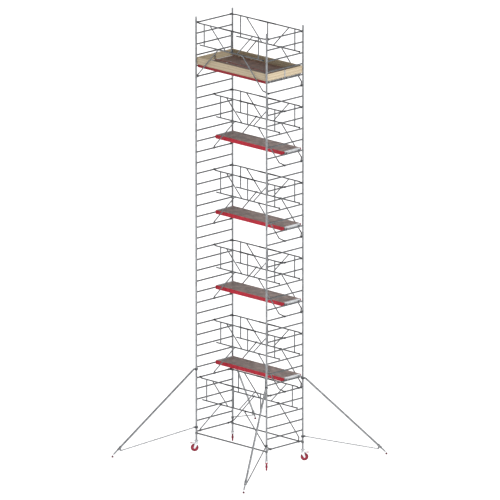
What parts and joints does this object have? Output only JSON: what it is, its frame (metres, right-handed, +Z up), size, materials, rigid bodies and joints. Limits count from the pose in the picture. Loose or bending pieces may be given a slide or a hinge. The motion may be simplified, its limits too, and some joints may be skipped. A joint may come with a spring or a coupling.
{
  "type": "mobile tower scaffold",
  "caption": "Tall mobile access tower: ladder frames on castors, trapdoor platforms with folding guardrails, toe-boarded top deck and telescopic outrigger stabilisers.",
  "frame": {"origin": "on the floor, midway between the four castors and between the four stabiliser feet", "axes": "+Z up; X along the platforms, from one ladder frame to the other; +Y towards the rear half, which carries the intermediate platforms"},
  "size_m": [4.7348, 5.1486, 11.3141],
  "materials": {
    "ladder_aluminium": "extruded, matt",
    "rail_aluminium": "extruded, matt",
    "spigot_aluminium": "extruded, matt",
    "dark_fittings": "glass-filled nylon, moulded",
    "dark_castings": "cast, dark powder coat",
    "spring_steel": "zinc plated",
    "brace_aluminium": "extruded, matt",
    "platform_red": "red powder coat on the side channels, mill finish on the cross members",
    "deck_plywood": "phenolic film, mesh pressed",
    "hatch_plywood": "phenolic film, mesh pressed",
    "toe_board_timber": "planed softwood",
    "wheel_red": "moulded polyamide",
    "fork_steel": "zinc plated",
    "spindle_steel": "zinc plated, screwed",
    "nut_casting": "cast, zinc plated",
    "pedal_red": "moulded",
    "stabiliser_aluminium": "extruded, matt",
    "leg_aluminium": "extruded, matt, with a rubber foot"
  },
  "bodies": {
    "tower": {"ladder_frames_tier_1": "ladder_aluminium", "ladder_frames_tier_2": "ladder_aluminium", "ladder_frames_tier_3": "ladder_aluminium", "ladder_frames_tier_4": "ladder_aluminium", "ladder_frames_tier_5": "ladder_aluminium", "ladder_frames_tier_6": "ladder_aluminium", "frame_spigots": "spigot_aluminium", "frame_clips": "spring_steel", "horizontal_braces": "brace_aluminium", "guardrails_base": "rail_aluminium", "guardrails_level_1": "rail_aluminium", "guardrails_level_2": "rail_aluminium", "guardrails_level_3": "rail_aluminium", "guardrails_level_4": "rail_aluminium", "guardrails_top": "rail_aluminium", "guardrail_fittings": "dark_fittings", "platform_frame_1": "platform_red", "platform_frame_2": "platform_red", "platform_frame_3": "platform_red", "platform_frame_4": "platform_red", "platform_frame_top_rear": "platform_red", "platform_frame_top_front": "platform_red", "platform_decks": "deck_plywood", "platform_claws": "dark_castings", "toe_boards": "toe_board_timber", "toe_board_clips": "spring_steel"},
    "castor_spindle_front_left": {"castor_spindle_front_left": "spindle_steel"},
    "wing_nut_front_left": {"wing_nut_front_left": "nut_casting"},
    "castor_fork_front_left": {"castor_fork_front_left": "fork_steel"},
    "castor_wheel_front_left": {"castor_wheel_front_left": "wheel_red"},
    "brake_pedal_front_left": {"brake_pedal_front_left": "pedal_red"},
    "stabiliser_tube_front_left": {"stabiliser_tube_front_left": "stabiliser_aluminium"},
    "stabiliser_leg_front_left": {"stabiliser_leg_front_left": "leg_aluminium"},
    "castor_spindle_front_right": {"castor_spindle_front_right": "spindle_steel"},
    "wing_nut_front_right": {"wing_nut_front_right": "nut_casting"},
    "castor_fork_front_right": {"castor_fork_front_right": "fork_steel"},
    "castor_wheel_front_right": {"castor_wheel_front_right": "wheel_red"},
    "brake_pedal_front_right": {"brake_pedal_front_right": "pedal_red"},
    "stabiliser_tube_front_right": {"stabiliser_tube_front_right": "stabiliser_aluminium"},
    "stabiliser_leg_front_right": {"stabiliser_leg_front_right": "leg_aluminium"},
    "castor_spindle_rear_left": {"castor_spindle_rear_left": "spindle_steel"},
    "wing_nut_rear_left": {"wing_nut_rear_left": "nut_casting"},
    "castor_fork_rear_left": {"castor_fork_rear_left": "fork_steel"},
    "castor_wheel_rear_left": {"castor_wheel_rear_left": "wheel_red"},
    "brake_pedal_rear_left": {"brake_pedal_rear_left": "pedal_red"},
    "stabiliser_tube_rear_left": {"stabiliser_tube_rear_left": "stabiliser_aluminium"},
    "stabiliser_leg_rear_left": {"stabiliser_leg_rear_left": "leg_aluminium"},
    "castor_spindle_rear_right": {"castor_spindle_rear_right": "spindle_steel"},
    "wing_nut_rear_right": {"wing_nut_rear_right": "nut_casting"},
    "castor_fork_rear_right": {"castor_fork_rear_right": "fork_steel"},
    "castor_wheel_rear_right": {"castor_wheel_rear_right": "wheel_red"},
    "brake_pedal_rear_right": {"brake_pedal_rear_right": "pedal_red"},
    "stabiliser_tube_rear_right": {"stabiliser_tube_rear_right": "stabiliser_aluminium"},
    "stabiliser_leg_rear_right": {"stabiliser_leg_rear_right": "leg_aluminium"},
    "hatch_1": {"hatch_1": "hatch_plywood"},
    "hatch_2": {"hatch_2": "hatch_plywood"},
    "hatch_3": {"hatch_3": "hatch_plywood"},
    "hatch_4": {"hatch_4": "hatch_plywood"},
    "hatch_top_rear": {"hatch_top_rear": "hatch_plywood"},
    "hatch_top_front": {"hatch_top_front": "hatch_plywood"}
  },
  "joints": [
    {"name": "nut_turn_front_left", "type": "hinge", "parent": "tower", "child": "wing_nut_front_left", "pos_m": [-1.25, -0.645, 0.281], "axis": [0, 0, 1], "range_deg": [0, 9000]},
    {"name": "spindle_slide_front_left", "type": "slide", "parent": "tower", "child": "castor_spindle_front_left", "axis": [0, 0, -1], "range_m": [0, 0.2]},
    {"name": "castor_swivel_front_left", "type": "hinge", "parent": "castor_spindle_front_left", "child": "castor_fork_front_left", "pos_m": [-1.25, -0.645, 0.23], "axis": [0, 0, 1], "continuous": true},
    {"name": "wheel_roll_front_left", "type": "hinge", "parent": "castor_fork_front_left", "child": "castor_wheel_front_left", "pos_m": [-1.28182, -0.67682, 0.1], "axis": [0.7071, -0.7071, 0], "continuous": true},
    {"name": "brake_press_front_left", "type": "hinge", "parent": "castor_fork_front_left", "child": "brake_pedal_front_left", "pos_m": [-1.31647, -0.71147, 0.214], "axis": [0.7071, -0.7071, 0], "range_deg": [0, 18]},
    {"name": "stabiliser_swing_front_left", "type": "hinge", "parent": "tower", "child": "stabiliser_tube_front_left", "pos_m": [-1.25, -0.645, 1.4], "axis": [0, 0, -1], "range_deg": [-45, 60]},
    {"name": "leg_slide_front_left", "type": "slide", "parent": "stabiliser_tube_front_left", "child": "stabiliser_leg_front_left", "axis": [-0.3532, -0.6168, -0.7035], "range_m": [-0.1, 0.5]},
    {"name": "nut_turn_front_right", "type": "hinge", "parent": "tower", "child": "wing_nut_front_right", "pos_m": [1.25, -0.645, 0.281], "axis": [0, 0, 1], "range_deg": [0, 9000]},
    {"name": "spindle_slide_front_right", "type": "slide", "parent": "tower", "child": "castor_spindle_front_right", "axis": [0, 0, -1], "range_m": [0, 0.2]},
    {"name": "castor_swivel_front_right", "type": "hinge", "parent": "castor_spindle_front_right", "child": "castor_fork_front_right", "pos_m": [1.25, -0.645, 0.23], "axis": [0, 0, 1], "continuous": true},
    {"name": "wheel_roll_front_right", "type": "hinge", "parent": "castor_fork_front_right", "child": "castor_wheel_front_right", "pos_m": [1.28182, -0.67682, 0.1], "axis": [0.7071, 0.7071, 0], "continuous": true},
    {"name": "brake_press_front_right", "type": "hinge", "parent": "castor_fork_front_right", "child": "brake_pedal_front_right", "pos_m": [1.31647, -0.71147, 0.214], "axis": [0.7071, 0.7071, 0], "range_deg": [0, 18]},
    {"name": "stabiliser_swing_front_right", "type": "hinge", "parent": "tower", "child": "stabiliser_tube_front_right", "pos_m": [1.25, -0.645, 1.4], "axis": [0, 0, 1], "range_deg": [-45, 60]},
    {"name": "leg_slide_front_right", "type": "slide", "parent": "stabiliser_tube_front_right", "child": "stabiliser_leg_front_right", "axis": [0.3532, -0.6168, -0.7035], "range_m": [-0.1, 0.5]},
    {"name": "nut_turn_rear_left", "type": "hinge", "parent": "tower", "child": "wing_nut_rear_left", "pos_m": [-1.25, 0.645, 0.281], "axis": [0, 0, 1], "range_deg": [0, 9000]},
    {"name": "spindle_slide_rear_left", "type": "slide", "parent": "tower", "child": "castor_spindle_rear_left", "axis": [0, 0, -1], "range_m": [0, 0.2]},
    {"name": "castor_swivel_rear_left", "type": "hinge", "parent": "castor_spindle_rear_left", "child": "castor_fork_rear_left", "pos_m": [-1.25, 0.645, 0.23], "axis": [0, 0, 1], "continuous": true},
    {"name": "wheel_roll_rear_left", "type": "hinge", "parent": "castor_fork_rear_left", "child": "castor_wheel_rear_left", "pos_m": [-1.28182, 0.67682, 0.1], "axis": [-0.7071, -0.7071, 0], "continuous": true},
    {"name": "brake_press_rear_left", "type": "hinge", "parent": "castor_fork_rear_left", "child": "brake_pedal_rear_left", "pos_m": [-1.31647, 0.71147, 0.214], "axis": [-0.7071, -0.7071, 0], "range_deg": [0, 18]},
    {"name": "stabiliser_swing_rear_left", "type": "hinge", "parent": "tower", "child": "stabiliser_tube_rear_left", "pos_m": [-1.25, 0.645, 1.4], "axis": [0, 0, 1], "range_deg": [-45, 60]},
    {"name": "leg_slide_rear_left", "type": "slide", "parent": "stabiliser_tube_rear_left", "child": "stabiliser_leg_rear_left", "axis": [-0.3532, 0.6168, -0.7035], "range_m": [-0.1, 0.5]},
    {"name": "nut_turn_rear_right", "type": "hinge", "parent": "tower", "child": "wing_nut_rear_right", "pos_m": [1.25, 0.645, 0.281], "axis": [0, 0, 1], "range_deg": [0, 9000]},
    {"name": "spindle_slide_rear_right", "type": "slide", "parent": "tower", "child": "castor_spindle_rear_right", "axis": [0, 0, -1], "range_m": [0, 0.2]},
    {"name": "castor_swivel_rear_right", "type": "hinge", "parent": "castor_spindle_rear_right", "child": "castor_fork_rear_right", "pos_m": [1.25, 0.645, 0.23], "axis": [0, 0, 1], "continuous": true},
    {"name": "wheel_roll_rear_right", "type": "hinge", "parent": "castor_fork_rear_right", "child": "castor_wheel_rear_right", "pos_m": [1.28182, 0.67682, 0.1], "axis": [-0.7071, 0.7071, 0], "continuous": true},
    {"name": "brake_press_rear_right", "type": "hinge", "parent": "castor_fork_rear_right", "child": "brake_pedal_rear_right", "pos_m": [1.31647, 0.71147, 0.214], "axis": [-0.7071, 0.7071, 0], "range_deg": [0, 18]},
    {"name": "stabiliser_swing_rear_right", "type": "hinge", "parent": "tower", "child": "stabiliser_tube_rear_right", "pos_m": [1.25, 0.645, 1.4], "axis": [0, 0, -1], "range_deg": [-45, 60]},
    {"name": "leg_slide_rear_right", "type": "slide", "parent": "stabiliser_tube_rear_right", "child": "stabiliser_leg_rear_right", "axis": [0.3532, 0.6168, -0.7035], "range_m": [-0.1, 0.5]},
    {"name": "hatch_open_1", "type": "hinge", "parent": "tower", "child": "hatch_1", "pos_m": [-0.725, 0.572, 2.271], "axis": [-1, 0, 0], "range_deg": [0, 90]},
    {"name": "hatch_open_2", "type": "hinge", "parent": "tower", "child": "hatch_2", "pos_m": [-0.725, 0.572, 4.231], "axis": [-1, 0, 0], "range_deg": [0, 90]},
    {"name": "hatch_open_3", "type": "hinge", "parent": "tower", "child": "hatch_3", "pos_m": [-0.725, 0.572, 6.191], "axis": [-1, 0, 0], "range_deg": [0, 90]},
    {"name": "hatch_open_4", "type": "hinge", "parent": "tower", "child": "hatch_4", "pos_m": [-0.725, 0.572, 8.151], "axis": [-1, 0, 0], "range_deg": [0, 90]},
    {"name": "hatch_open_top_rear", "type": "hinge", "parent": "tower", "child": "hatch_top_rear", "pos_m": [-0.725, 0.572, 10.111], "axis": [-1, 0, 0], "range_deg": [0, 90]},
    {"name": "hatch_open_top_front", "type": "hinge", "parent": "tower", "child": "hatch_top_front", "pos_m": [-0.725, -0.572, 10.111], "axis": [1, 0, 0], "range_deg": [0, 90]}
  ],
  "couplings": [
    {"joint": "spindle_slide_front_left", "follows": "nut_turn_front_left", "m_per_rad": 0.0012732},
    {"joint": "spindle_slide_front_right", "follows": "nut_turn_front_right", "m_per_rad": 0.0012732},
    {"joint": "spindle_slide_rear_left", "follows": "nut_turn_rear_left", "m_per_rad": 0.0012732},
    {"joint": "spindle_slide_rear_right", "follows": "nut_turn_rear_right", "m_per_rad": 0.0012732}
  ]
}
